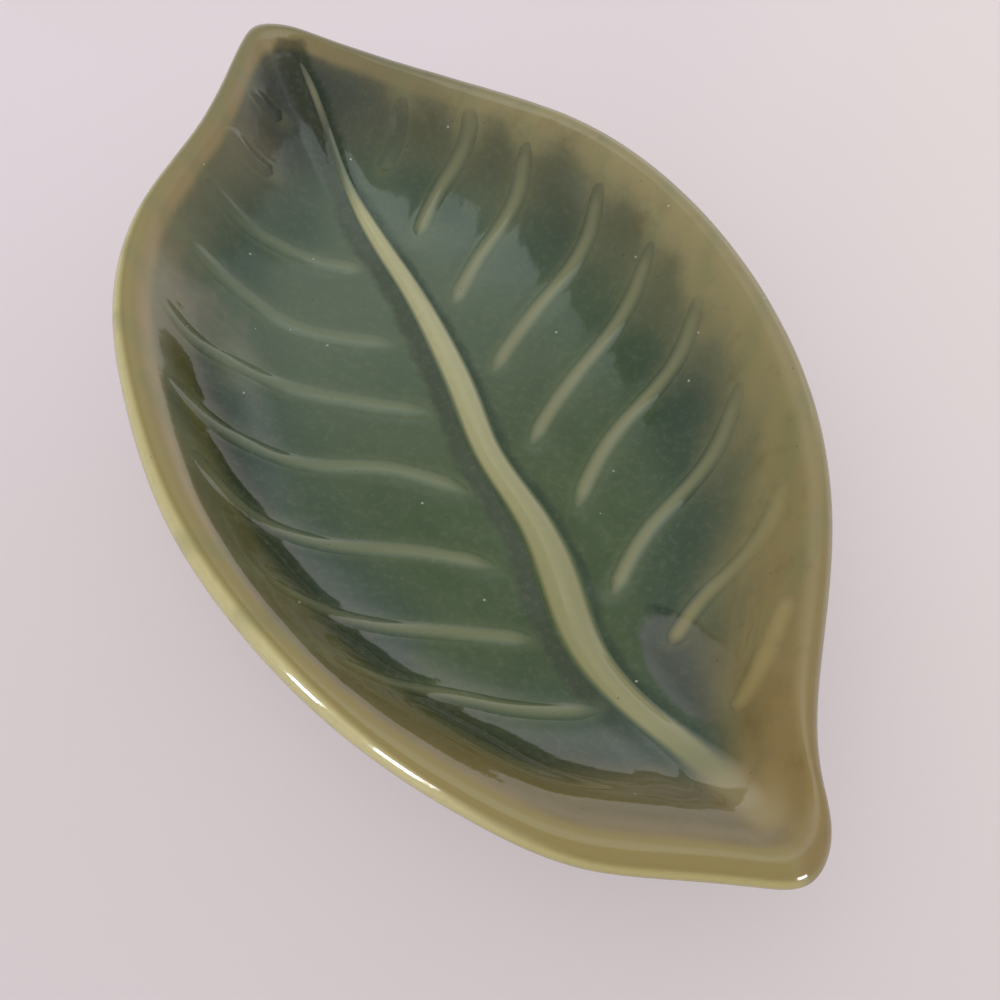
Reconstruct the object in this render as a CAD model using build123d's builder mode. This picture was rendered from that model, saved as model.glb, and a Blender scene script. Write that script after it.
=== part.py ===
"""Leaf-shaped stoneware ring dish with trailed veins, in millimetres.

The dish lies on the XY plane with +Z up. The leaf runs along X, from its apex at -X to its
stem tip at +X, and the origin is under the middle of the leaf, on the surface it stands on.
The left veins are on the -Y side and the right veins on the +Y side.
"""
from build123d import *
from math import cos, radians, sin
import os

os.makedirs("parts", exist_ok=True)

# Size of the whole dish
dish_length = 130.0
dish_width = 71.0
dish_height = 20.6

# Clay slab, measured over its glaze
floor_thickness = 5.0
side_wall = 4.4
tip_wall = 5.2
lip_radius = 1.5

# How far the flat base and the flat floor lie inside the rim
base_side_inset = 19.5
base_tip_inset = 31.0
floor_side_inset = 25.0
floor_tip_inset = 37.5

# Standing ring under the base
foot_height = 4.2
foot_width = 3.5
foot_set_in = 1.5

# Trailed clay veins and the midrib, with the height that each stands out of the slab
vein_width = 1.5
vein_height = 0.65
midrib_width = 4.4
midrib_height = 1.3

half_length = dish_length / 2
half_width = dish_width / 2

# Outline of the leaf: shares of the half length and half width, round the leaf from its
# stem tip by the right side to the apex, and back by the left side
outline_shares = [
    (1.0, 0.03),
    (0.97, 0.13),
    (0.88, 0.215),
    (0.72, 0.41),
    (0.54, 0.665),
    (0.31, 0.88),
    (0.0, 0.995),
    (-0.23, 0.98),
    (-0.46, 0.845),
    (-0.65, 0.59),
    (-0.8, 0.37),
    (-0.925, 0.205),
    (-0.985, 0.11),
    (-1.0, 0.035),
    (-0.97, -0.04),
    (-0.88, -0.17),
    (-0.77, -0.345),
    (-0.615, -0.65),
    (-0.43, -0.855),
    (-0.185, -0.965),
    (0.06, -1.0),
    (0.31, -0.94),
    (0.54, -0.805),
    (0.72, -0.625),
    (0.845, -0.44),
    (0.92, -0.235),
    (0.975, -0.075),
]

# Outside of the dish from base to rim: shares of the base inset and of the rise
outside_shares = [
    (1.0, 0.0),
    (0.66, 0.17),
    (0.445, 0.315),
    (0.25, 0.53),
    (0.13, 0.7),
    (0.03, 0.87),
    (0.0, 1.0),
]

# Inside of the dish from floor to rim: shares of the floor inset and of the depth
inside_shares = [
    (1.0, 0.0),
    (0.68, 0.075),
    (0.49, 0.18),
    (0.28, 0.415),
    (0.175, 0.61),
    (0.08, 0.84),
    (0.0, 1.0),
]

# Veins from rim to midrib, apex first: shares of the half length and half width
left_vein_shares = [
    [(-0.835, -0.095), (-0.81, -0.07), (-0.79, -0.03)],
    [(-0.745, -0.245), (-0.705, -0.22), (-0.67, -0.155)],
    [(-0.645, -0.405), (-0.57, -0.335), (-0.495, -0.195), (-0.43, -0.01)],
    [(-0.53, -0.55), (-0.475, -0.495), (-0.345, -0.325), (-0.235, -0.05)],
    [(-0.41, -0.72), (-0.335, -0.68), (-0.255, -0.545), (-0.17, -0.34), (-0.06, -0.07)],
    [(-0.23, -0.805), (-0.135, -0.735), (-0.045, -0.535), (0.01, -0.31), (0.125, -0.105)],
    [(-0.07, -0.84), (0.05, -0.775), (0.13, -0.6), (0.185, -0.38), (0.28, -0.15)],
    [(0.215, -0.82), (0.265, -0.725), (0.315, -0.585), (0.365, -0.38), (0.435, -0.165)],
    [(0.39, -0.75), (0.445, -0.64), (0.48, -0.51), (0.53, -0.375), (0.6, -0.125)],
]
right_vein_shares = [
    [(-0.69, 0.36), (-0.65, 0.31), (-0.61, 0.21)],
    [(-0.59, 0.535), (-0.56, 0.51), (-0.52, 0.375), (-0.45, 0.21)],
    [(-0.475, 0.655), (-0.42, 0.575), (-0.36, 0.39), (-0.275, 0.195)],
    [(-0.32, 0.785), (-0.26, 0.69), (-0.2, 0.47), (-0.095, 0.175)],
    [(-0.155, 0.82), (-0.095, 0.685), (-0.02, 0.415), (0.08, 0.15)],
    [(0.0, 0.83), (0.06, 0.71), (0.12, 0.44), (0.235, 0.16)],
    [(0.195, 0.765), (0.275, 0.59), (0.33, 0.325), (0.415, 0.105)],
    [(0.41, 0.655), (0.48, 0.5), (0.505, 0.31), (0.55, 0.15)],
    [(0.61, 0.435), (0.665, 0.31), (0.72, 0.16)],
]

# Midrib from apex to stem: shares of the half length and half width, and of its own size
midrib_shares = [
    (-0.9, 0.11, 0.2),
    (-0.81, 0.115, 0.22),
    (-0.635, 0.085, 0.25),
    (-0.53, 0.075, 0.32),
    (-0.36, 0.065, 0.45),
    (-0.215, 0.06, 0.55),
    (-0.05, 0.035, 0.68),
    (0.06, 0.01, 0.76),
    (0.23, 0.005, 0.86),
    (0.365, -0.015, 0.94),
    (0.485, -0.045, 1.0),
    (0.64, -0.04, 0.92),
    (0.76, -0.01, 0.75),
    (0.85, 0.025, 0.5),
]

# Steps of the quarter round on each edge of the lip, in degrees
lip_angles = (0, 30, 60, 90)

# Places along each vein where its height is taken from the slab
vein_steps = 6

floor_height = foot_height + floor_thickness
lip_height = dish_height - lip_radius


def leaf(side_inset, tip_inset, height):
    """Leaf outline drawn in by the two insets, as a flat face at the given height."""
    reach = half_length - tip_inset
    breadth = half_width - side_inset
    with BuildSketch(Plane.XY.offset(height)) as sketch:
        with BuildLine():
            Spline(*[(along * reach, across * breadth) for along, across in outline_shares], periodic=True)
        make_face()
    return sketch.sketch.face()


def lip_levels(side_inset, tip_inset, turn):
    """Levels of a quarter round at the lip, which draws in with turn 1 and opens out with turn -1."""
    levels = []
    for angle in lip_angles:
        draw_in = turn * lip_radius * (1 - cos(radians(angle)))
        height = lip_height + lip_radius * sin(radians(angle))
        levels.append(leaf(side_inset + draw_in, tip_inset + draw_in, height))
    return levels


# Levels of the outside of the slab, from its flat base up to the lip
outside_levels = [
    leaf(base_side_inset * inset, base_tip_inset * inset, foot_height + (lip_height - foot_height) * climb)
    for inset, climb in outside_shares
]

# Levels of the hollow, from its flat floor up to the lip
inside_levels = [
    leaf(
        side_wall + (floor_side_inset - side_wall) * inset,
        tip_wall + (floor_tip_inset - tip_wall) * inset,
        floor_height + (lip_height - floor_height) * climb,
    )
    for inset, climb in inside_shares
]

# Clay slab, pressed over a leaf-shaped mould
with BuildPart() as leaf_shell:
    loft(sections=outside_levels)
    loft(sections=lip_levels(0, 0, 1))
    loft(sections=lip_levels(side_wall, tip_wall, -1), mode=Mode.SUBTRACT)
    loft(sections=inside_levels, mode=Mode.SUBTRACT)

# Bare clay ring that the dish stands on
foot_side_inset = base_side_inset + foot_set_in
foot_tip_inset = base_tip_inset + foot_set_in
with BuildPart() as foot_ring:
    with BuildSketch():
        add(leaf(foot_side_inset, foot_tip_inset, 0))
        add(leaf(foot_side_inset + foot_width, foot_tip_inset + foot_width, 0), mode=Mode.SUBTRACT)
    extrude(amount=foot_height)


def on_slab(along, across):
    """Point on the upper side of the slab, straight below a place in plan."""
    sight = Axis((along * half_length, across * half_width, dish_height), (0, 0, -1))
    hits = [point for point, _ in leaf_shell.part.find_intersection_points(sight)]
    return max(hits, key=lambda point: point.Z)


def vein(plan_shares):
    """Round line of clay laid on the slab along a smooth curve in plan."""
    plan = Spline(*plan_shares)
    steps = [plan @ (step / vein_steps) for step in range(vein_steps + 1)]
    lift = Vector(0, 0, vein_height - vein_width / 2)
    points = [on_slab(place.X, place.Y) + lift for place in steps]
    with BuildPart() as line:
        with BuildLine() as path:
            Spline(*points)
        with BuildSketch(Plane(path.line @ 0, z_dir=path.line % 0)):
            Circle(vein_width / 2)
        sweep()
        with Locations(path.line @ 0, path.line @ 1):
            Sphere(vein_width / 2)
        add(leaf_shell.part, mode=Mode.SUBTRACT)
    return line.part


veins = {}
for side, table in (("left", left_vein_shares), ("right", right_vein_shares)):
    for number, plan_shares in enumerate(table, start=1):
        veins[f"vein_{side}_{number}"] = vein(plan_shares)

# Midrib, a low ridge that is thin at the apex and broad towards the stem
with BuildPart() as midrib:
    crest = [on_slab(along, across) for along, across, _ in midrib_shares]
    for number, (_, _, size) in enumerate(midrib_shares):
        ahead = crest[min(number + 1, len(crest) - 1)] - crest[max(number - 1, 0)]
        with BuildSketch(Plane(crest[number], x_dir=(ahead.Y, -ahead.X, 0), z_dir=ahead)):
            Ellipse(midrib_width * size / 2, midrib_height * size)
    loft()
    add(leaf_shell.part, mode=Mode.SUBTRACT)

pieces = {
    "leaf_shell": leaf_shell.part,
    "foot_ring": foot_ring.part,
    "midrib": midrib.part,
    **veins,
}
for name, piece in pieces.items():
    piece.label = name
    export_step(piece, f"parts/{name}.step")
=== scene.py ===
# %% [markdown]
# # A leaf-shaped ring dish in glazed stoneware
# The dish is one fired piece of clay: a slab pressed over a leaf mould, veins and a midrib in
# relief, a bare foot ring below and a glossy green glaze that runs thin at the rim.
# The CAD model is loaded first. It holds every true size, in metres, and each piece made
# below takes the place of one of its nodes.

# %% Load the CAD frame
import bpy
import numpy as np
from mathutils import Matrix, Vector, noise


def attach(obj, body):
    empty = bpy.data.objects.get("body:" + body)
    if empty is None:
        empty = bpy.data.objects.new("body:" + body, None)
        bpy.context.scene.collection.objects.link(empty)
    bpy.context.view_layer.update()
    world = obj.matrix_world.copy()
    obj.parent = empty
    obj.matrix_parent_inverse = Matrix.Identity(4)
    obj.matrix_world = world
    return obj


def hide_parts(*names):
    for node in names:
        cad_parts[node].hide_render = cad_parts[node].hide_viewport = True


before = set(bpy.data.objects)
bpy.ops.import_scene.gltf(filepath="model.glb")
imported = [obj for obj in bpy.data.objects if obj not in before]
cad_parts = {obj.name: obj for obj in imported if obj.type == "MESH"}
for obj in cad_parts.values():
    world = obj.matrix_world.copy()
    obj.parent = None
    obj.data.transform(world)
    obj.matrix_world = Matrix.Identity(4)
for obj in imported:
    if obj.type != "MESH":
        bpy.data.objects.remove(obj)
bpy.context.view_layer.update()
MM = 0.001


# %% [markdown]
# ## Shader sums as plain Python
# A glaze is a stack of masks: how near the lip, how near a vein, how thick the pool. Wiring
# such sums by hand is slow to read, so one small class wraps a socket and adds the Math
# nodes when its values are added or multiplied. Every other node comes from one method.

# %% A material in the making
class Value:
    """A number that varies over a surface. Sums on it add Math nodes to the finish."""

    def __init__(self, finish, socket):
        self.finish = finish
        self.socket = socket

    def maths(self, operation, *others):
        inputs = dict(enumerate((self,) + others))
        return self.finish.value("Math", {"operation": operation}, inputs)

    def turned(self, operation, other):
        return self.finish.value("Math", {"operation": operation}, {0: other, 1: self})

    def __add__(self, other):
        return self.maths("ADD", other)

    def __sub__(self, other):
        return self.maths("SUBTRACT", other)

    def __mul__(self, other):
        return self.maths("MULTIPLY", other)

    def __truediv__(self, other):
        return self.maths("DIVIDE", other)

    def __pow__(self, other):
        return self.maths("POWER", other)

    def __rsub__(self, other):
        return self.turned("SUBTRACT", other)

    __radd__ = __add__
    __rmul__ = __mul__

    def between(self, start, end):
        """0 up to start, 1 from end, and a smooth rise between."""
        return self.finish.value(
            "MapRange", {"interpolation_type": "SMOOTHSTEP"},
            {"Value": self, "From Min": start, "From Max": end, "To Min": 0.0, "To Max": 1.0},
        )

    def clipped(self):
        return self.finish.value("Math", {"operation": "ADD", "use_clamp": True}, {0: self, 1: 0.0})


class Finish:
    """A material that is built node by node."""

    def __init__(self, name):
        self.material = bpy.data.materials.new(name)
        self.material.use_nodes = True
        self.tree = self.material.node_tree
        self.tree.nodes.clear()
        self.shader = self.node("BsdfPrincipled")
        self.node("OutputMaterial", inputs={"Surface": self.shader.outputs[0]})
        self.place = self.node("TexCoord").outputs["Object"]

    def node(self, kind, settings=None, inputs=None):
        """Any node: its type, its settings, and the values or links of its sockets."""
        node = self.tree.nodes.new("ShaderNode" + kind)
        for name, setting in (settings or {}).items():
            setattr(node, name, setting)
        for name, value in (inputs or {}).items():
            self.put(node, name, value)
        return node

    def put(self, node, name, value):
        """Sets one socket, by name or by number, to a number or a link."""
        if isinstance(name, int):
            socket = node.inputs[name]
        else:
            socket = next(s for s in node.inputs if s.enabled and s.name == name)
        if isinstance(value, Value):
            self.tree.links.new(value.socket, socket)
        elif isinstance(value, bpy.types.NodeSocket):
            self.tree.links.new(value, socket)
        else:
            socket.default_value = value

    def value(self, kind, settings=None, inputs=None, output=0):
        """The same, as a value for sums."""
        node = self.node(kind, settings, inputs)
        return Value(self, node.outputs[output])

    def read(self, attribute):
        """A number stored on the piece's own points."""
        return self.value("Attribute", {"attribute_name": attribute}, output="Fac")

    def cloud(self, size, detail=2.0, roughness=0.5, stretch=(1.0, 1.0, 1.0), shift=(0.0, 0.0, 0.0)):
        """Soft noise from 0 to 1 whose patches are about size metres across."""
        place = self.node("Mapping", inputs={"Vector": self.place, "Location": shift, "Scale": stretch})
        return self.value(
            "TexNoise", {"noise_dimensions": "3D"},
            {"Vector": place.outputs[0], "Scale": 1.0 / size, "Detail": detail, "Roughness": roughness},
        )

    def speck(self, spacing, radius, shift=(0.0, 0.0, 0.0)):
        """Rare round specks of the given radius in millimetres, 1 inside and 0 outside."""
        place = self.node("Mapping", inputs={"Vector": self.place, "Location": shift})
        near = self.value(
            "TexVoronoi", {"voronoi_dimensions": "3D"}, {"Vector": place.outputs[0], "Scale": 1.0 / spacing}
        )
        edge = radius * MM / spacing
        return 1 - near.between(edge * 0.7, edge)

    def blend(self, share, under, over):
        """One colour over another, by a share from 0 to 1."""
        node = self.node("Mix", {"data_type": "RGBA"}, {"Factor": share, "A": under, "B": over})
        return next(s for s in node.outputs if s.enabled)


def colour(red, green, blue):
    """A screen colour, 0 to 255, as the linear colour that a shader needs."""
    def linear(v):
        v /= 255
        return v / 12.92 if v <= 0.04045 else ((v + 0.055) / 1.055) ** 2.4
    return (linear(red), linear(green), linear(blue), 1.0)


# %% [markdown]
# ## The outline of the leaf
# Both halves of the leaf differ, as they do on a real leaf: the left half is fullest near
# the middle, the right half further towards the apex. The outline is given as shares of
# the half length and half width, the same ones that the CAD part uses, and a smooth closed
# line goes through them.

# %% Leaf outline
half_length, half_width = 65.0, 35.5
outline_shares = [
    (1.0, 0.03), (0.97, 0.13), (0.88, 0.215), (0.72, 0.41), (0.54, 0.665), (0.31, 0.88), (0.0, 0.995),
    (-0.23, 0.98), (-0.46, 0.845), (-0.65, 0.59), (-0.8, 0.37), (-0.925, 0.205), (-0.985, 0.11),
    (-1.0, 0.035), (-0.97, -0.04), (-0.88, -0.17), (-0.77, -0.345), (-0.615, -0.65), (-0.43, -0.855),
    (-0.185, -0.965), (0.06, -1.0), (0.31, -0.94), (0.54, -0.805), (0.72, -0.625), (0.845, -0.44),
    (0.92, -0.235), (0.975, -0.075),
]
outline_steps = 20


def smooth_line(points, steps, closed):
    """A line through the points with no kink and no sudden change of curve."""
    points = np.array(points, float)
    count = len(points)
    ahead = np.roll(points, -1, axis=0)
    span = np.linalg.norm(ahead - points, axis=1)
    chord = (ahead - points) / span[:, None]
    sums = np.zeros((count, count))
    wanted = np.zeros(points.shape)
    for i in range(count):
        if closed or 0 < i < count - 1:
            sums[i, i - 1] = span[i]
            sums[i, i] = 2 * (span[i - 1] + span[i])
            sums[i, (i + 1) % count] = span[i - 1]
            wanted[i] = 3 * (span[i] * chord[i - 1] + span[i - 1] * chord[i])
        else:
            sums[i, i] = 2
            sums[i, 1 if i == 0 else i - 1] = 1
            wanted[i] = 3 * chord[0 if i == 0 else i - 1]
    slope = np.linalg.solve(sums, wanted)
    rows = []
    for i in range(count if closed else count - 1):
        j = (i + 1) % count
        for share in np.arange(steps[i]) / steps[i]:
            a, b = 1 - share, share
            rows.append(
                a * a * (1 + 2 * b) * points[i] + b * b * (1 + 2 * a) * points[j]
                + span[i] * (a * a * b * slope[i] - b * b * a * slope[j])
            )
    if not closed:
        rows.append(points[-1])
    return np.array(rows)


outline = [(along * half_length, across * half_width) for along, across in outline_shares]
leaf = smooth_line(outline, [outline_steps] * len(outline), True)
leaf = leaf / (half_length, half_width)
print("outline points:", len(leaf))

# %% [markdown]
# ## The section of the dish
# The slab was pressed while soft, so its section has no corner: the flat floor rises into
# a steep wall, the wall rolls over into a broad soft lip, and the outside falls back to
# the foot. The way the far rim is mirrored in the near wall depends on this curve, so it
# is drawn point by point: how far inside the rim, how high, and how many steps follow.

# %% Section from the middle of the floor, over the lip, to the middle of the underside
dish_height, base_height = 20.6, 4.2
section = [
    (half_width, 9.2, 12), (30.0, 9.2, 9), (26.0, 9.22, 9), (22.0, 9.45, 9), (18.0, 10.03, 9),
    (14.5, 11.02, 7),
    (12.0, 12.17, 6), (10.0, 13.42, 7), (8.0, 15.26, 8), (6.0, 17.5, 7), (4.5, 19.1, 7), (3.3, 20.12, 7),
    (2.1, 20.58, 6), (1.1, 20.42, 6), (0.35, 19.8, 6), (0.0, 18.9, 4), (0.25, 17.9, 4), (1.2, 16.3, 4),
    (2.6, 14.5, 4), (4.9, 12.1, 4), (8.7, 8.9, 4), (12.9, 6.6, 4), (16.5, 5.1, 3), (19.5, base_height, 2),
    (24.5, base_height, 2), (half_width, base_height, 1),
]


def tip_inset(side_inset):
    """The section is drawn out lengthwise towards both tips."""
    return np.interp(side_inset, [0.0, 4.4, 25.0, half_width], [0.0, 5.2, 37.5, half_length])


places = [(side, tip_inset(side), height) for side, height, _ in section]
line = smooth_line(places, [steps for _, _, steps in section], False)
top_row = int(np.argmax(line[:, 2]))
# How far each level lies from the lip's top, along the section: inwards positive, outwards negative
strides = np.r_[0, np.cumsum(np.hypot(np.diff(line[:, 0]), np.diff(line[:, 2])))]
from_lip = strides[top_row] - strides
# Which way is out of the clay at each level: inwards over the hollow, and up
slope = np.gradient(line[:, [0, 2]], axis=0)
outward = np.c_[slope[:, 1], -slope[:, 0]] / np.hypot(slope[:, 0], slope[:, 1])[:, None]
print("levels:", len(line), "the lip's top is level", top_row)

# %% [markdown]
# ## Where the veins run
# The veins are lines of clay trailed on the slab, nine on each side, and the midrib is a
# broad ridge that starts as a thread at the apex. Each is drawn in plan from the rim to
# the midrib. The veins have the same shares as in the CAD part, and the midrib's are refined
# from them. The last number on the midrib is its size there, as a share of its full width.

# %% Veins and midrib in plan
left_veins = [
    [(-0.835, -0.095), (-0.81, -0.07), (-0.79, -0.03)],
    [(-0.745, -0.245), (-0.705, -0.22), (-0.67, -0.155)],
    [(-0.645, -0.405), (-0.57, -0.335), (-0.495, -0.195), (-0.43, -0.01)],
    [(-0.53, -0.55), (-0.475, -0.495), (-0.345, -0.325), (-0.235, -0.05)],
    [(-0.41, -0.72), (-0.335, -0.68), (-0.255, -0.545), (-0.17, -0.34), (-0.06, -0.07)],
    [(-0.23, -0.805), (-0.135, -0.735), (-0.045, -0.535), (0.01, -0.31), (0.125, -0.105)],
    [(-0.07, -0.84), (0.05, -0.775), (0.13, -0.6), (0.185, -0.38), (0.28, -0.15)],
    [(0.215, -0.82), (0.265, -0.725), (0.315, -0.585), (0.365, -0.38), (0.435, -0.165)],
    [(0.39, -0.75), (0.445, -0.64), (0.48, -0.51), (0.53, -0.375), (0.6, -0.125)],
]
right_veins = [
    [(-0.69, 0.36), (-0.65, 0.31), (-0.61, 0.21)],
    [(-0.59, 0.535), (-0.56, 0.51), (-0.52, 0.375), (-0.45, 0.21)],
    [(-0.475, 0.655), (-0.42, 0.575), (-0.36, 0.39), (-0.275, 0.195)],
    [(-0.32, 0.785), (-0.26, 0.69), (-0.2, 0.47), (-0.095, 0.175)],
    [(-0.155, 0.82), (-0.095, 0.685), (-0.02, 0.415), (0.08, 0.15)],
    [(0.0, 0.83), (0.06, 0.71), (0.12, 0.44), (0.235, 0.16)],
    [(0.195, 0.765), (0.275, 0.59), (0.33, 0.325), (0.415, 0.105)],
    [(0.41, 0.655), (0.48, 0.5), (0.505, 0.31), (0.55, 0.15)],
    [(0.61, 0.435), (0.665, 0.31), (0.72, 0.16)],
]
midrib_places = [
    (-0.9, 0.11, 0.24), (-0.81, 0.115, 0.27), (-0.63, 0.085, 0.3), (-0.53, 0.08, 0.48), (-0.36, 0.09, 0.6),
    (-0.215, 0.08, 0.72), (-0.05, 0.045, 0.8), (0.06, 0.015, 0.78), (0.23, 0.02, 0.92), (0.365, -0.015, 1.1),
    (0.485, -0.055, 0.95), (0.64, -0.025, 0.85), (0.765, 0.02, 1.1), (0.84, 0.025, 1.1), (0.9, 0.03, 0.5),
]


def in_plan(shares, steps):
    """A smooth line in plan, in millimetres, with any third number carried along."""
    places = [(a * half_length, b * half_width, *rest) for a, b, *rest in shares]
    return smooth_line(places, [steps] * len(places), False)


vein_lines = {}
for side, table in (("left", left_veins), ("right", right_veins)):
    for number, shares in enumerate(table, start=1):
        plan = in_plan(shares, 16)
        share = np.linspace(0, 1, len(plan))
        # A trailed line rises out of the slab at the rim, swells, and ends in a round tip
        size = 0.7 + 0.3 * np.clip(share / 0.3, 0, 1)
        size *= np.sqrt(1.04 - np.clip((share - 0.92) / 0.08, 0, 1) ** 2)
        swelling = np.interp(share, [0, 0.15, 0.93, 1], [0, 1, 1, 0.3])
        vein_lines[f"vein_{side}_{number}"] = np.c_[plan, size, swelling]
plan = in_plan(midrib_places, 8)
share = np.linspace(0, 1, len(plan))
midrib_line = np.c_[plan, np.interp(share, [0, 0.1, 0.3, 0.76, 0.9, 1], [0, 0.5, 1, 1, 0.3, 0])]
print("veins:", len(vein_lines), "midrib points:", len(midrib_line))

# %% [markdown]
# ## The slab as one closed mesh
# Each level is the leaf outline drawn in by its inset. Rows of points between the levels
# give a grid, closed by a single point in the middle of the floor and of the underside.
# The clay was smoothed up against the veins, so it rises a little beside each of them, and
# hand pressing leaves it faintly uneven. Each point also stores how far it is from the
# midrib's edge and from the nearest vein, and on which side of the midrib it lies: the glaze
# goes dark where it pools beside the midrib, and painted shade widens and darkens that on its left.

# %% Build the slab
def new_piece(name, points, faces, numbers):
    """A smooth mesh piece with its own stored numbers, one list for each name."""
    mesh = bpy.data.meshes.new(name)
    mesh.from_pydata([tuple(p) for p in points], [], faces)
    mesh.polygons.foreach_set("use_smooth", [True] * len(mesh.polygons))
    for number_name, values in numbers.items():
        stored = mesh.attributes.new(number_name, "FLOAT", "POINT")
        stored.data.foreach_set("value", np.asarray(values, dtype=np.float32))
    piece = bpy.data.objects.new(name, mesh)
    bpy.context.scene.collection.objects.link(piece)
    return piece


def nearest(points, target, half_widths):
    """The distance in plan from each point to the edge of a line."""
    found = np.full(len(points), 99.0)
    for place, half in zip(target, half_widths):
        found = np.minimum(found, np.hypot(points[:, 0] - place[0], points[:, 1] - place[1]) - half)
    return found


def grid(levels):
    """The leaf outline at each level, as one long list of points in millimetres."""
    side, tip, height = (levels[:, k][:, None] for k in range(3))
    x = leaf[:, 0] * (half_length - tip)
    y = leaf[:, 1] * (half_width - side)
    return np.stack([x, y, height + 0 * x], axis=-1).reshape(-1, 3)


midrib_width, midrib_height = 4.7, 0.7
vein_width, vein_height = 2.8, 0.2
around = len(leaf)
levels = np.r_[line[1:-1], line[:1], line[-1:]]
plan_points = grid(levels)
point_from_lip = np.repeat(np.r_[from_lip[1:-1], from_lip[0], from_lip[-1]], around)
by_midrib = nearest(plan_points, midrib_line, midrib_line[:, 2] * midrib_width / 2)
along, across = plan_points[:, 0], plan_points[:, 1]
left_of_midrib = np.clip(np.interp(along, midrib_line[:, 0], midrib_line[:, 1]) - across, 0, 1)
by_vein = np.full(len(plan_points), 99.0)
for vein_line in vein_lines.values():
    # The glaze also runs thin in a streak from the vein's outer end up to the rim
    onward = (vein_line[0] - vein_line[4]) / np.hypot(*(vein_line[0] - vein_line[4])[:2])
    streak = vein_line[0] + onward * (1, 1, 0, 0) * np.arange(9, 0, -1)[:, None]
    whole = np.r_[streak, vein_line]
    by_vein = np.minimum(by_vein, nearest(plan_points, whole, whole[:, 2] * vein_width / 2))
# The clay rises beside the midrib and the veins, in millimetres, and is flat again at the lip
beside_midrib, beside_vein = 0.2, 0.06
rise = beside_midrib * np.exp(-(np.clip(by_midrib, 0, None) / 1.3) ** 2)
rise *= np.clip((midrib_line[-1, 0] + 6 - along) / 12, 0, 1)
rise += beside_vein * np.exp(-(np.clip(by_vein, 0, None) / 0.7) ** 2)
rise *= np.clip((point_from_lip - 3.0) / 3.0, 0, 1)
# The near wall is fuller towards both tips, where the slab was not pressed home
fuller = np.interp(along, [-50, -30, -14, -4, 4, 36, 46, 56, 62], [0, 0.4, 0.9, 0.6, 0, 0, 0.5, 0.7, 0.3])
fuller = fuller * np.clip(-across / 6, 0, 1)
rise += fuller * np.exp(-((point_from_lip - 13) / 4) ** 2)
# Towards the stem the rim is broader and flatter
stem_shoulder = 0.6
toward_stem = np.clip((along - 26) / 20, 0, 1)
rise += stem_shoulder * toward_stem * np.exp(-((point_from_lip - 5.5) / 3.0) ** 2)
out = np.repeat(np.r_[outward[1:-1], outward[:1], outward[-1:]], around, axis=0)
lifted = np.repeat(levels, around, axis=0)
shares = np.tile(leaf, (len(levels), 1))
slab_points = np.c_[
    shares[:, 0] * (half_length - lifted[:, 1] - rise * out[:, 0]),
    shares[:, 1] * (half_width - lifted[:, 0] - rise * out[:, 0]),
    lifted[:, 2] + rise * out[:, 1],
]
# The hollow is a little shallower towards both tips
inside = np.clip(point_from_lip / 4, 0, 1)
tips = np.clip((np.abs(along) - 28) / 30, 0, 1)
tip_rise = 0.14
slab_points[:, 2] += (dish_height - slab_points[:, 2]) * tip_rise * tips * inside
# Hand pressing leaves the upper part faintly uneven
pressed_above = 6.5
for point in slab_points:
    if point[2] > pressed_above:
        x, y, z = point
        point[2] += 0.1 * noise.noise(Vector((x / 14 + 3, y / 14 - 3, z / 14)))
        point[2] += 0.04 * noise.noise(Vector((x / 5 + 8, y / 5 - 8, z / 5)))
floor_middle, under_middle = len(slab_points) - 2 * around, len(slab_points) - 2 * around + 1
keep = list(range(floor_middle)) + [floor_middle, floor_middle + around]
slab_points = slab_points[keep] * MM
slab_faces = []
for level in range(len(levels) - 3):
    for i in range(around):
        j = (i + 1) % around
        a, b = level * around, (level + 1) * around
        slab_faces.append((a + i, b + i, b + j, a + j))
last = floor_middle - around
for i in range(around):
    j = (i + 1) % around
    slab_faces.append((floor_middle, i, j))
    slab_faces.append((under_middle, last + j, last + i))
slab = new_piece("pressed_slab", slab_points, slab_faces, {
    "from_lip": point_from_lip[keep], "by_midrib": by_midrib[keep], "by_vein": by_vein[keep],
    "left_of_midrib": left_of_midrib[keep]})
print("slab points:", len(slab_points), "triangles:", sum(len(p.vertices) - 2 for p in slab.data.polygons))

# %% [markdown]
# ## One tree lays every vein
# Nineteen lines follow the same rule, so one Geometry Nodes tree makes them all. A flat line
# in plan becomes a tube, each point of the tube drops onto the slab below it, and the upper
# side then swells out of the slab in a soft bell while the lower side sinks into the clay.

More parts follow.
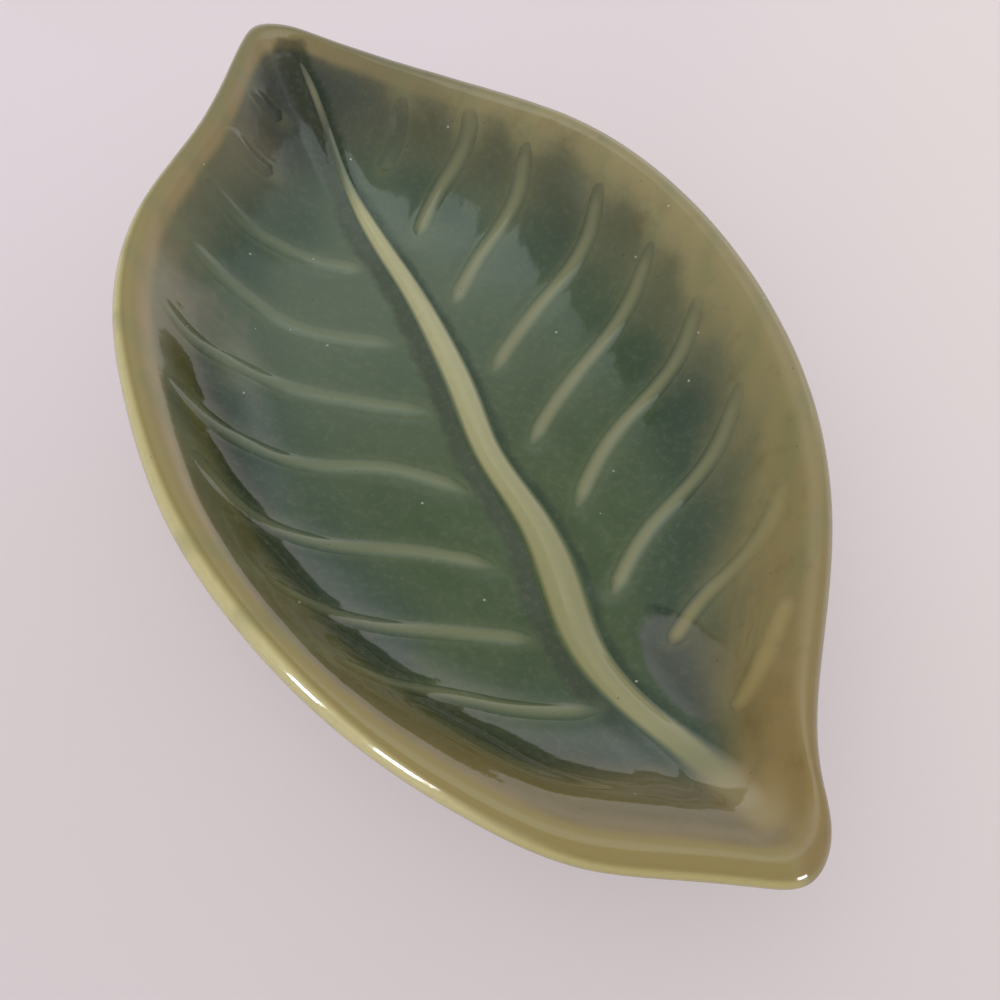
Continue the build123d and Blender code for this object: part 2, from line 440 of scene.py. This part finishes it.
# %% The vein tree
def vein_tree():
    tree = bpy.data.node_groups.new("trailed_line", "GeometryNodeTree")

    def socket(name, kind, way="INPUT"):
        return tree.interface.new_socket(name=name, in_out=way, socket_type="NodeSocket" + kind)

    socket("Geometry", "Geometry")
    socket("Slab", "Object")
    for name in ("Width", "Height", "Sink"):
        socket(name, "Float")
    socket("Glaze", "Material")
    socket("Geometry", "Geometry", "OUTPUT")
    given = tree.nodes.new("NodeGroupInput")

    def add(kind, settings=None, inputs=None):
        node = tree.nodes.new(kind)
        for name, setting in (settings or {}).items():
            setattr(node, name, setting)
        for name, value in (inputs or {}).items():
            target = node.inputs[name] if isinstance(name, int) else next(
                s for s in node.inputs if s.enabled and s.name == name)
            if isinstance(value, bpy.types.NodeSocket):
                tree.links.new(value, target)
            else:
                target.default_value = value
        return node

    def sums(operation, *values):
        return add("ShaderNodeMath", {"operation": operation}, dict(enumerate(values))).outputs[0]

    def stored(name):
        node = add("GeometryNodeInputNamedAttribute", {"data_type": "FLOAT"}, {"Name": name})
        return node.outputs["Attribute"]

    def keep(geometry, name, value):
        return add(
            "GeometryNodeStoreNamedAttribute", {"data_type": "FLOAT", "domain": "POINT"},
            {"Geometry": geometry, "Name": name, "Value": value},
        ).outputs["Geometry"]

    place = add("GeometryNodeInputPosition").outputs[0]
    split = add("ShaderNodeSeparateXYZ", inputs={0: place})
    # The path, with its radius from the stored size
    path = add("GeometryNodeMeshToCurve", inputs={"Mesh": given.outputs["Geometry"]}).outputs[0]
    path = add("GeometryNodeResampleCurve", {"mode": "LENGTH"}, {"Curve": path, "Length": 0.0004}).outputs[0]
    path = keep(path, "along", add("GeometryNodeSplineParameter").outputs["Factor"])
    path = add("GeometryNodeSetCurveNormal", {"mode": "Z_UP"}, {"Curve": path}).outputs[0]
    radius = sums("MULTIPLY", sums("MULTIPLY", stored("size"), given.outputs["Width"]), 0.5)
    # The round section, which remembers which way each of its points faces
    ring = add("GeometryNodeCurvePrimitiveCircle", inputs={"Resolution": 24, "Radius": 1.0}).outputs[0]
    ring = keep(ring, "across", split.outputs[0])
    ring = keep(ring, "upward", split.outputs[1])
    tube = add("GeometryNodeCurveToMesh", inputs={
        "Curve": path, "Profile Curve": ring, "Scale": radius, "Fill Caps": True,
    }).outputs[0]
    # Drop every point onto the slab
    slab_info = {"Object": given.outputs["Slab"]}
    target = add("GeometryNodeObjectInfo", {"transform_space": "RELATIVE"}, slab_info)
    drop_from, ray_length = 0.05, 0.1
    start = add("ShaderNodeCombineXYZ", inputs={0: split.outputs[0], 1: split.outputs[1], 2: drop_from})
    start = start.outputs[0]

    def drop(kind, value):
        return add(
            "GeometryNodeRaycast", {"data_type": kind, "mapping": "INTERPOLATED"},
            {"Target Geometry": target.outputs["Geometry"], "Attribute": value, "Source Position": start,
             "Ray Direction": (0.0, 0.0, -1.0), "Ray Length": ray_length},
        )

    landing = drop("FLOAT_VECTOR", add("GeometryNodeInputNormal").outputs[0])
    lip_distance = drop("FLOAT", stored("from_lip"))
    flat = sums("SUBTRACT", 1.0, sums("MULTIPLY", stored("across"), stored("across")))
    above = sums("GREATER_THAN", stored("upward"), 0.0)
    bell = sums("MULTIPLY", flat, flat)
    bell = sums("MULTIPLY", bell, stored("swelling"))
    swell = sums("MULTIPLY", sums("MULTIPLY", bell, given.outputs["Height"]), stored("size"))
    sink = sums("MULTIPLY", sums("SQRT", sums("MAXIMUM", flat, 0.0)), given.outputs["Sink"])
    below = sums("MULTIPLY", sums("SUBTRACT", 1.0, above), sink)
    set_in = 0.02 * MM
    lift = sums("SUBTRACT", sums("SUBTRACT", sums("MULTIPLY", above, swell), below), set_in)
    slab_normal, slab_place = landing.outputs["Attribute"], landing.outputs["Hit Position"]
    push = add("ShaderNodeVectorMath", {"operation": "SCALE"}, {0: slab_normal, "Scale": lift}).outputs[0]
    spot = add("ShaderNodeVectorMath", {"operation": "ADD"}, {0: slab_place, 1: push}).outputs[0]
    tube = keep(tube, "from_lip", lip_distance.outputs["Attribute"])
    tube = keep(tube, "crest", sums("MULTIPLY", bell, above))
    tube = add("GeometryNodeSetPosition", inputs={"Geometry": tube, "Position": spot}).outputs[0]
    tube = add("GeometryNodeSetShadeSmooth", inputs={"Geometry": tube}).outputs[0]
    tube = add("GeometryNodeRealizeInstances", inputs={"Geometry": tube}).outputs[0]
    tube = add("GeometryNodeSetMaterial", inputs={"Geometry": tube, "Material": given.outputs["Glaze"]})
    add("NodeGroupOutput", inputs={0: tube.outputs[0]})
    return tree


trailed_line = vein_tree()
sockets = [item for item in trailed_line.interface.items_tree if item.in_out == "INPUT"]
socket_ids = {item.name: item.identifier for item in sockets}
print("tree inputs:", list(socket_ids))

# %% [markdown]
# ## The glaze
# A celadon glaze coloured with copper and iron looks different wherever its thickness
# changes. It is deep green where it pools on the floor, olive brown on the steep wall,
# pale tan where it thins at the lip and over the veins, and yellow green on the lip's outer edge.
# Fine bubbles and specks from the firing sit in it, and its skin is very slightly uneven,
# which frays the edge of every mirrored shape.

# %% Mix the glaze
def glaze(name, on_line=None, softness=1.0):
    """The glaze on the slab, or on a raised line of the given pale colour."""
    mix = Finish(name)
    lip = mix.read("from_lip")
    along = mix.value("SeparateXYZ", inputs={0: mix.place}, output=0)
    across = mix.value("SeparateXYZ", inputs={0: mix.place}, output=1)
    slow = mix.cloud(0.022, 2.0, shift=(0.3, 0.1, 0.0))
    patch = mix.cloud(0.007, 3.0, 0.6, shift=(1.7, 0.4, 0.0))
    mottle = mix.cloud(0.0035, 4.0, 0.65, shift=(0.0, 2.2, 0.6))
    grain = mix.cloud(0.0009, 2.0, 0.7)
    bubble = mix.speck(0.004, 0.17)
    fleck = mix.speck(0.0025, 0.11, (0.31, 0.17, 0.53))
    # From -1 at the left rim to 1 at the right rim, in the tapering stem half too
    side = across / (half_width * MM - along.clipped() * 0.5)
    right_side = side.between(-0.05, 0.5)
    near_side = 1 - right_side
    stem_half = along.between(-0.02, 0.03)
    stem_end = along.between(0.02, 0.06)
    apex_end = 1 - along.between(-0.055, -0.03)
    wall = 1 - lip.between(8.0, 20.0)
    # Thick glaze on the floor: deep green, paler towards the apex, blue green towards the wall
    tint = mix.blend(patch.between(0.3, 0.75), colour(64, 79, 48), colour(74, 88, 55))
    tint = mix.blend((1 - along.between(-0.03, 0.015)) * 0.8, tint, colour(96, 108, 90))
    tint = mix.blend((1 - lip.between(12.0, 24.0)) * slow.between(0.3, 0.6), tint, colour(60, 76, 64))
    # A painted pale sheen with a frayed dark border on the floor beside the midrib's stem end: a painted
    # reflection of the bright room
    nearness = ((along - 0.039) / 0.008) ** 2.0 + ((across - 0.0055) / 0.0035) ** 2.0
    painted_sheen = 1 - (nearness + (mottle - 0.5) * 0.5).between(0.75, 1.1)
    tint = mix.blend(painted_sheen * 0.6, tint, colour(98, 98, 96))
    frayed = nearness + (mottle - 0.5) * 1.2
    sheen_dark_border = frayed.between(0.8, 1.0) * (1 - frayed.between(1.1, 1.3)) * across.between(0.005, 0.007)
    tint = mix.blend(sheen_dark_border * 0.7, tint, colour(38, 50, 36))
    # It thins up the wall to honey brown, further down on the right side and at the stem
    reach = lip + (slow - 0.5) * 7.0 + (patch - 0.5) * 4.0 + (mottle - 0.5) * 3.0 + 2.0
    reach = reach - right_side * (4.5 + stem_half) - stem_end * 2.0
    if not on_line:
        streak = 1 - mix.read("by_vein").between(-0.5, 3.0)
        reach = reach - streak * right_side * 1.5 + (1 - streak) * right_side * 0.2
    warm_right = mix.blend(stem_half, colour(138, 136, 108), colour(136, 129, 92))
    warm = mix.blend(right_side, colour(112, 102, 66), warm_right)
    pale_right = mix.blend(stem_half, colour(160, 149, 108), colour(144, 131, 88))
    pale = mix.blend(right_side, colour(136, 122, 82), pale_right)
    thinning = mix.blend(stem_half, colour(104, 102, 78), warm)
    tint = mix.blend((1 - reach.between(1.0, 14.0)) * 0.85, tint, thinning)
    thinnest = 1 - (reach + (1 - stem_half) * right_side * 2.0).between(0.0, 6.0)
    tint = mix.blend(thinnest * 0.75, tint, pale)
    ochre = mix.blend(right_side, colour(122, 105, 66), colour(140, 118, 74))
    stem_rise = stem_end * (1 - (lip + (patch - 0.5) * 5.0).between(6.0, 13.0))
    tint = mix.blend(stem_rise * 0.85, tint, ochre)
    rusty = mottle.between(0.5, 0.75) * (1 - lip.between(6.0, 12.0))
    tint = mix.blend(rusty * 0.3, tint, colour(104, 90, 54))
    # The apex: brown on its left wall, blue grey in its hollow
    apex_wall = mix.blend(right_side, colour(118, 108, 84), colour(66, 72, 62))
    tint = mix.blend(apex_end * wall * 0.6, tint, apex_wall)
    left_wall = (1 - along.between(-0.03, -0.01)) * (1 - (side + (patch - 0.5) * 0.5).between(-0.8, -0.4))
    tint = mix.blend(left_wall * 0.85, tint, colour(142, 130, 102))
    hollow = (1 - along.between(-0.052, -0.04)) * (lip + (patch - 0.5) * 3.0).between(0.5, 6.0)
    blue_grey = mix.blend(right_side, colour(56, 62, 60), colour(82, 89, 80))
    hollow_colour = mix.blend(side.between(-0.4, -0.02), colour(150, 138, 112), blue_grey)
    tint = mix.blend(hollow * 0.8, tint, hollow_colour)
    # Under the near lip the glaze gathers again, dark, and painted shade darkens the near wall further, as
    # it faces away from the light
    shade = (1 - side.between(-0.7, -0.3)) * (1 - along.between(0.04, 0.05)) * along.between(-0.03, -0.015)
    gather_and_shade = (lip + (patch - 0.5) * 2.0).between(3.6, 6.5) * (1 - lip.between(9.0, 14.0))
    gathered_and_shaded = mix.blend(lip.between(6.0, 9.5), colour(80, 78, 40), colour(40, 48, 29))
    tint = mix.blend(shade * gather_and_shade * 0.95, tint, gathered_and_shaded)
    brown = (lip + (patch - 0.5) * 2.0).between(0.8, 3.5) * (1 - lip.between(4.5, 8.0))
    brown = brown * stem_half * (1 - along.between(0.044, 0.06)) * near_side
    tint = mix.blend(brown * 0.65, tint, colour(100, 90, 50))
    # The stem's wall: tan where the midrib runs out, darker to its left, streaked to its right
    stem_wall = along.between(0.049, 0.053) * lip.between(2.0, 4.0)
    run_out = stem_wall * side.between(-0.2, 0.1) * (1 - side.between(0.2, 0.7))
    tint = mix.blend(run_out * 0.6, tint, colour(162, 144, 102))
    tint = mix.blend(stem_wall * (1 - side.between(-0.35, -0.15)) * 0.6, tint, colour(100, 94, 66))
    tint = mix.blend(stem_end * right_side * patch.between(0.45, 0.7) * 0.3, tint, colour(108, 88, 50))
    # Thinnest over the lip, with an olive line along its top and a yellow outer edge. On the near side that
    # edge is paler, most of all towards the stem: partly its yellow glaze, partly painted highlight
    bare = 1 - (lip + (patch - 0.5) * 0.8 + stem_half * 1.9).between(2.2, 3.6)
    tint = mix.blend(bare * (1 - right_side * 0.7) * 0.8, tint, colour(157, 138, 98))
    tint = mix.blend(bare * (1 - lip.between(0.6, 1.3)) * near_side * 0.6, tint, colour(142, 130, 78))
    near_edge_with_highlight = mix.blend(along.between(0.04, 0.058), colour(196, 186, 136), colour(178, 167, 108))
    outer_edge = mix.blend(near_side, colour(150, 139, 96), near_edge_with_highlight)
    tint = mix.blend(1 - (lip + stem_end * 1.2).between(-1.3, -0.4), tint, outer_edge)
    tint = mix.blend(1 - lip.between(-9.0, -4.0), tint, colour(112, 112, 66))
    tint = mix.blend(apex_end * (1 - lip.between(-3.0, 3.0)) * 0.6, tint, colour(76, 80, 66))
    if on_line:
        line_colour = mix.blend(along.between(-0.02, 0.03), on_line[0], on_line[1])
        if name == "vein_glaze":
            right_veins_colour = mix.blend(stem_end, colour(144, 143, 108), colour(194, 172, 110))
            line_colour = mix.blend(side.between(-0.15, 0.15), line_colour, right_veins_colour)
        strength = 0.85 - (1 - lip.between(4.0, 20.0)) * 0.4 - (1 - along.between(-0.042, -0.034)) * 0.6
        if name == "midrib_glaze":
            # Strong from the middle on, faint before the apex's tip, and weaker at the stem
            strength = 0.1 + along.between(-0.044, -0.034) * 0.8 + (1 - along.between(-0.054, -0.048)) * 0.35
            strength = strength * (1 - along.between(0.042, 0.053) * 0.4)
        tint = mix.blend(mix.read("crest").between(0.0, softness) * strength, tint, line_colour)
    else:
        # The glaze pools dark beside the midrib; the wider, darker band on its left is painted shade
        left_of = mix.read("left_of_midrib")
        pool_and_shade = 1 - (mix.read("by_midrib") + (mottle - 0.5) * 1.6 - left_of * 1.3).between(0.1, 1.2)
        pool_and_shade_colour = mix.blend(left_of, colour(38, 50, 36), colour(56, 60, 46))
        tint = mix.blend(pool_and_shade * (1 - along.between(0.036, 0.048)) * 0.65, tint, pool_and_shade_colour)
        halo = 1 - mix.read("by_vein").between(-1.0, 0.9)
        tint = mix.blend(halo * 0.3, tint, colour(118, 122, 86))
    tint = mix.blend(grain.between(0.45, 0.75) * 0.12, tint, colour(130, 132, 106))
    tint = mix.blend(fleck * 0.6, tint, colour(44, 46, 32))
    tint = mix.blend(bubble * 0.6, tint, colour(190, 192, 176))
    mix.put(mix.shader, "Base Color", tint)
    mix.put(mix.shader, "Roughness", 0.05 + patch * 0.03)
    mix.put(mix.shader, "IOR", 1.5)
    skin = mix.cloud(0.0009, 1.0) * 0.000008 + mix.cloud(0.003, 1.0) * 0.000016
    bump = mix.node("Bump", inputs={"Strength": 1.0, "Distance": 1.0, "Height": skin})
    mix.put(mix.shader, "Normal", bump.outputs[0])
    return mix.material


slab_glaze = glaze("slab_glaze")
vein_glaze = glaze("vein_glaze", (colour(118, 126, 98), colour(128, 131, 94)), 1.3)
midrib_glaze = glaze("midrib_glaze", (colour(184, 180, 138), colour(156, 152, 110)), 0.45)
slab.data.materials.append(slab_glaze)
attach(slab, "root")
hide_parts("leaf_shell")
print("glaze nodes:", len(slab_glaze.node_tree.nodes))

# %% [markdown]
# ## Lay the veins
# Each line goes through the tree once and comes out as a plain closed mesh.

# %% Lay the midrib and the veins
laid_from = 0.03
midrib_sink, vein_sink = 0.6, 0.4


def lay_line(name, node, line_points, width, height, sink, finish):
    """One raised line: its plan through the tree, as a plain mesh in place of its CAD node."""
    mesh = bpy.data.meshes.new(name + "_plan")
    steps = [(i, i + 1) for i in range(len(line_points) - 1)]
    mesh.from_pydata([(x * MM, y * MM, laid_from) for x, y, *_ in line_points], steps, [])
    for column, number_name in ((2, "size"), (3, "swelling")):
        stored = mesh.attributes.new(number_name, "FLOAT", "POINT")
        stored.data.foreach_set("value", np.asarray(line_points[:, column], dtype=np.float32))
    draft = bpy.data.objects.new(name + "_plan", mesh)
    bpy.context.scene.collection.objects.link(draft)
    modifier = draft.modifiers.new("lay", "NODES")
    modifier.node_group = trailed_line
    given = {"Slab": slab, "Width": width * MM, "Height": height * MM, "Sink": sink * MM, "Glaze": finish}
    for name_given, value in given.items():
        modifier[socket_ids[name_given]] = value
    bpy.context.view_layer.update()
    laid = bpy.data.meshes.new_from_object(draft.evaluated_get(bpy.context.evaluated_depsgraph_get()))
    bpy.data.objects.remove(draft)
    piece = bpy.data.objects.new(name, laid)
    bpy.context.scene.collection.objects.link(piece)
    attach(piece, "root")
    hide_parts(node)
    return piece


ridge = lay_line(
    "midrib_ridge", "midrib", midrib_line,
    midrib_width, midrib_height, midrib_sink, midrib_glaze,
)
print("midrib:", len(ridge.data.vertices), "points,", len(ridge.data.materials), "material")
for name, vein_line in vein_lines.items():
    laid = lay_line(
        "line_" + name, name, vein_line, vein_width, vein_height, vein_sink, vein_glaze
    )
print("last vein:", laid.name, len(laid.data.vertices), "points")

# %% [markdown]
# ## The foot ring
# Glaze would stick to the kiln shelf, so the ring that the dish stands on stays bare. It
# was cut with a trimming tool, which leaves faint lines along it. Its edges are softened,
# and the clay is a fine, matt, warm grey brown.

# %% Bare foot ring
foot_outer, foot_width, foot_top = 21.0, 3.5, 4.3
foot_tip_inset = 32.5
edge_in, edge_up = 0.3, 0.35
foot_section = [
    (foot_outer + foot_width - edge_in, 0.0), (foot_outer + foot_width, edge_up),
    (foot_outer + foot_width, foot_top), (foot_outer, foot_top),
    (foot_outer, edge_up), (foot_outer + edge_in, 0.0),
]
foot_points = []
for side, height in foot_section:
    reach = half_length - (foot_tip_inset + side - foot_outer)
    breadth = half_width - side
    foot_points += [(along * reach * MM, across * breadth * MM, height * MM) for along, across in leaf]
foot_faces = []
for level in range(len(foot_section)):
    a, b = level * around, (level + 1) % len(foot_section) * around
    for i in range(around):
        j = (i + 1) % around
        foot_faces.append((a + i, b + i, b + j, a + j))
foot = new_piece("trimmed_foot", foot_points, foot_faces, {})
clay = Finish("bare_clay")
sand = clay.cloud(0.0006, 3.0, 0.7)
stain = clay.cloud(0.006, 2.0)
lines = clay.cloud(0.0005, 1.0, stretch=(0.05, 0.05, 1.0))
body = clay.blend(sand.between(0.35, 0.7), colour(168, 148, 122), colour(190, 172, 146))
body = clay.blend(stain.between(0.4, 0.8) * 0.4, body, colour(150, 122, 92))
clay.put(clay.shader, "Base Color", body)
clay.put(clay.shader, "Roughness", 0.75 + sand * 0.15)
relief = sand * 0.00004 + lines * 0.00003
bump = clay.node("Bump", inputs={"Strength": 1.0, "Distance": 1.0, "Height": relief})
clay.put(clay.shader, "Normal", bump.outputs[0])
foot.data.materials.append(clay.material)
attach(foot, "root")
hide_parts("foot_ring")
print("foot points:", len(foot_points))

# %% [markdown]
# ## The table
# The dish lies on a pale, faintly pink table, a little darker towards the camera and
# warmer on the right. Part of its brightness to the camera is its own, so that it stays
# pale behind the dish and still shows the soft shadow.

# %% Table
half_table = 3
away = Vector((-0.891, 0.454, 0.0))
right = Vector((0.454, 0.891, 0.0))
table_mesh = bpy.data.meshes.new("table")
corners = [(-1, -1, 0), (1, -1, 0), (1, 1, 0), (-1, 1, 0)]
table_mesh.from_pydata([(x * half_table, y * half_table, z) for x, y, z in corners], [], [(0, 1, 2, 3)])
table = bpy.data.objects.new("table", table_mesh)
bpy.context.scene.collection.objects.link(table)
cloth = Finish("table_top")
wash = cloth.cloud(0.09, 2.0, shift=(0.4, 0.7, 0.0))
pale = cloth.blend(wash.between(0.3, 0.7), colour(217, 206, 207), colour(219, 209, 214))
split = cloth.node("SeparateXYZ", inputs={0: cloth.place})
on_x, on_y = Value(cloth, split.outputs[0]), Value(cloth, split.outputs[1])
nearer = (on_x * -away.x - on_y * away.y).between(-0.1, 0.1)
beyond_dish = cloth.blend(0.4, pale, colour(238, 226, 230))
before_dish = cloth.blend(0.4, pale, colour(208, 197, 198))
pale = cloth.blend(nearer, beyond_dish, before_dish)
righter = (on_x * right.x + on_y * right.y).between(0.02, 0.08)
pale = cloth.blend(righter * 0.25, pale, colour(250, 236, 226))
cloth.put(cloth.shader, "Base Color", pale)
cloth.put(cloth.shader, "Roughness", 0.6)
glow = cloth.node("Emission", inputs={"Color": pale, "Strength": 1.0})
seen = cloth.value("LightPath", output="Is Camera Ray")
top = cloth.node("MixShader", inputs={0: seen * 0.6, 1: cloth.shader.outputs[0], 2: glow.outputs[0]})
output = next(n for n in cloth.tree.nodes if n.bl_idname == "ShaderNodeOutputMaterial")
cloth.tree.links.new(top.outputs[0], output.inputs["Surface"])
table.data.materials.append(cloth.material)

# %% [markdown]
# ## The camera
# The photograph was taken from the stem end, a little from the left, looking down. Its angle was
# found by making both halves of the leaf as alike as they get.

# %% Camera at the photograph's angle
camera_data = bpy.data.cameras.new("camera")
camera_data.lens = 55.4
camera_data.sensor_width = 36.0
camera_data.clip_start = 0.01
camera = bpy.data.objects.new("camera", camera_data)
bpy.context.scene.collection.objects.link(camera)
camera.location = (0.098599, -0.045416, 0.144869)
aim = Vector((0.01688, -0.00436, 0.0190))
camera.rotation_euler = (aim - camera.location).to_track_quat("-Z", "Y").to_euler()
bpy.context.scene.camera = camera

# %% [markdown]
# ## The lamp
# One wide, soft lamp hangs high above, towards the camera and the left. The glaze doesn't
# mirror it: what the glaze mirrors comes from the room in the next step.

# %% Soft light
def panel(name, place, width, height, light):
    """A flat soft lamp that faces the dish. light is its share of a plain, even light."""
    lamp = bpy.data.lights.new(name, "AREA")
    lamp.shape = "RECTANGLE"
    lamp.size, lamp.size_y = width, height
    distance = Vector(place).length
    lamp.energy = light * np.pi * np.pi * distance ** 2
    holder = bpy.data.objects.new(name, lamp)
    holder.location = place
    holder.rotation_euler = (-Vector(place)).to_track_quat("-Z", "Z").to_euler()
    bpy.context.scene.collection.objects.link(holder)
    return holder


key = panel("key", away * -0.5 + right * -0.3 + Vector((0, 0, 1.1)), 1.2, 1.2, 0.35)
key.visible_glossy = False

# %% [markdown]
# ## The room
# The world is a plain pale fill for everything but mirrored rays. Mirrored rays see a room:
# a pale side on the right and beyond the dish, which lies as a grey veil on the floor of
# the dish, a brighter ceiling and a brighter band low down, a pale patch behind the camera on
# the left, a dim rest, where the glaze shows its full colour, and three small bright lamps
# that make glints. The borders were placed where the photograph's reflections have theirs.

# %% The room that the glaze mirrors
world = bpy.data.worlds.new("room")
bpy.context.scene.world = world
world.use_nodes = True


class Room(Finish):
    """The same node method, for the world."""

    def __init__(self, tree):
        self.tree = tree
        tree.nodes.clear()


room = Room(world.node_tree)
facing = room.node("TexCoord").outputs["Generated"]


def towards(direction):
    """How far a direction points the given way, from -1 to 1."""
    dot = room.node("VectorMath", {"operation": "DOT_PRODUCT"}, {0: facing, 1: direction})
    return Value(room, dot.outputs["Value"])


to_away, to_right, to_top = towards(away), towards(right), towards((0.0, 0.0, 1.0))
window = (to_right + to_top * 0.36).between(-0.02, 0.02)
beyond = to_away.between(0.46, 0.52) * to_right.between(-0.75, -0.2)
window = 1 - (1 - window) * (1 - beyond)
window = window * (1 - (1 - to_away.between(-0.15, -0.02)) * (1 - to_right.between(0.2, 0.4)))
window = window * (1 - (to_right - to_away).between(0.02, 0.2) * 0.7)
ceiling = to_top.between(0.78, 0.93)
low = 1 - to_top.between(0.15, 0.6)
behind = (1 - to_away.between(-0.25, 0.0)) * (1 - to_right.between(-0.6, -0.3))
behind = behind * to_top.between(0.0, 0.15) * (1 - to_top.between(0.4, 0.6))
level = window * (0.5 + ceiling * 0.7 + low * 0.65) + behind * 0.8
# Each small lamp: which way it lies, away and right, and half its width and its height
lamps = [((-0.33, -0.94), 0.055, 0.33), ((-0.6, -0.8), 0.075, 0.33), ((-0.8, 0.6), 0.2, 0.26)]
lamp_level = 30.0
for place, width, height in lamps:
    facing_it = towards(away * place[0] + right * place[1])
    beside_it = towards(away * place[1] - right * place[0])
    narrow = 1 - (beside_it * beside_it).between(width ** 2 * 0.5, width ** 2)
    tall = to_top.between(0.02, 0.06) * (1 - to_top.between(height * 0.85, height))
    level = level + facing_it.between(0.5, 0.6) * narrow * tall * lamp_level
air = room.blend(low, (0.84, 0.98, 1.0, 1.0), (1.0, 0.96, 0.96, 1.0))
air = room.node("VectorMath", {"operation": "SCALE"}, {0: air, "Scale": level + 0.03}).outputs[0]
mirrored = room.node("Background", inputs={"Color": air, "Strength": 1.0})
fill = room.node("Background", inputs={"Color": (0.97, 0.97, 1.0, 1.0), "Strength": 0.72})
glossy = room.value("LightPath", output="Is Glossy Ray")
choice = room.node("MixShader", inputs={0: glossy, 1: fill.outputs[0], 2: mirrored.outputs[0]})
room.node("OutputWorld", inputs={"Surface": choice.outputs[0]})
bpy.context.scene.view_settings.view_transform = "Standard"
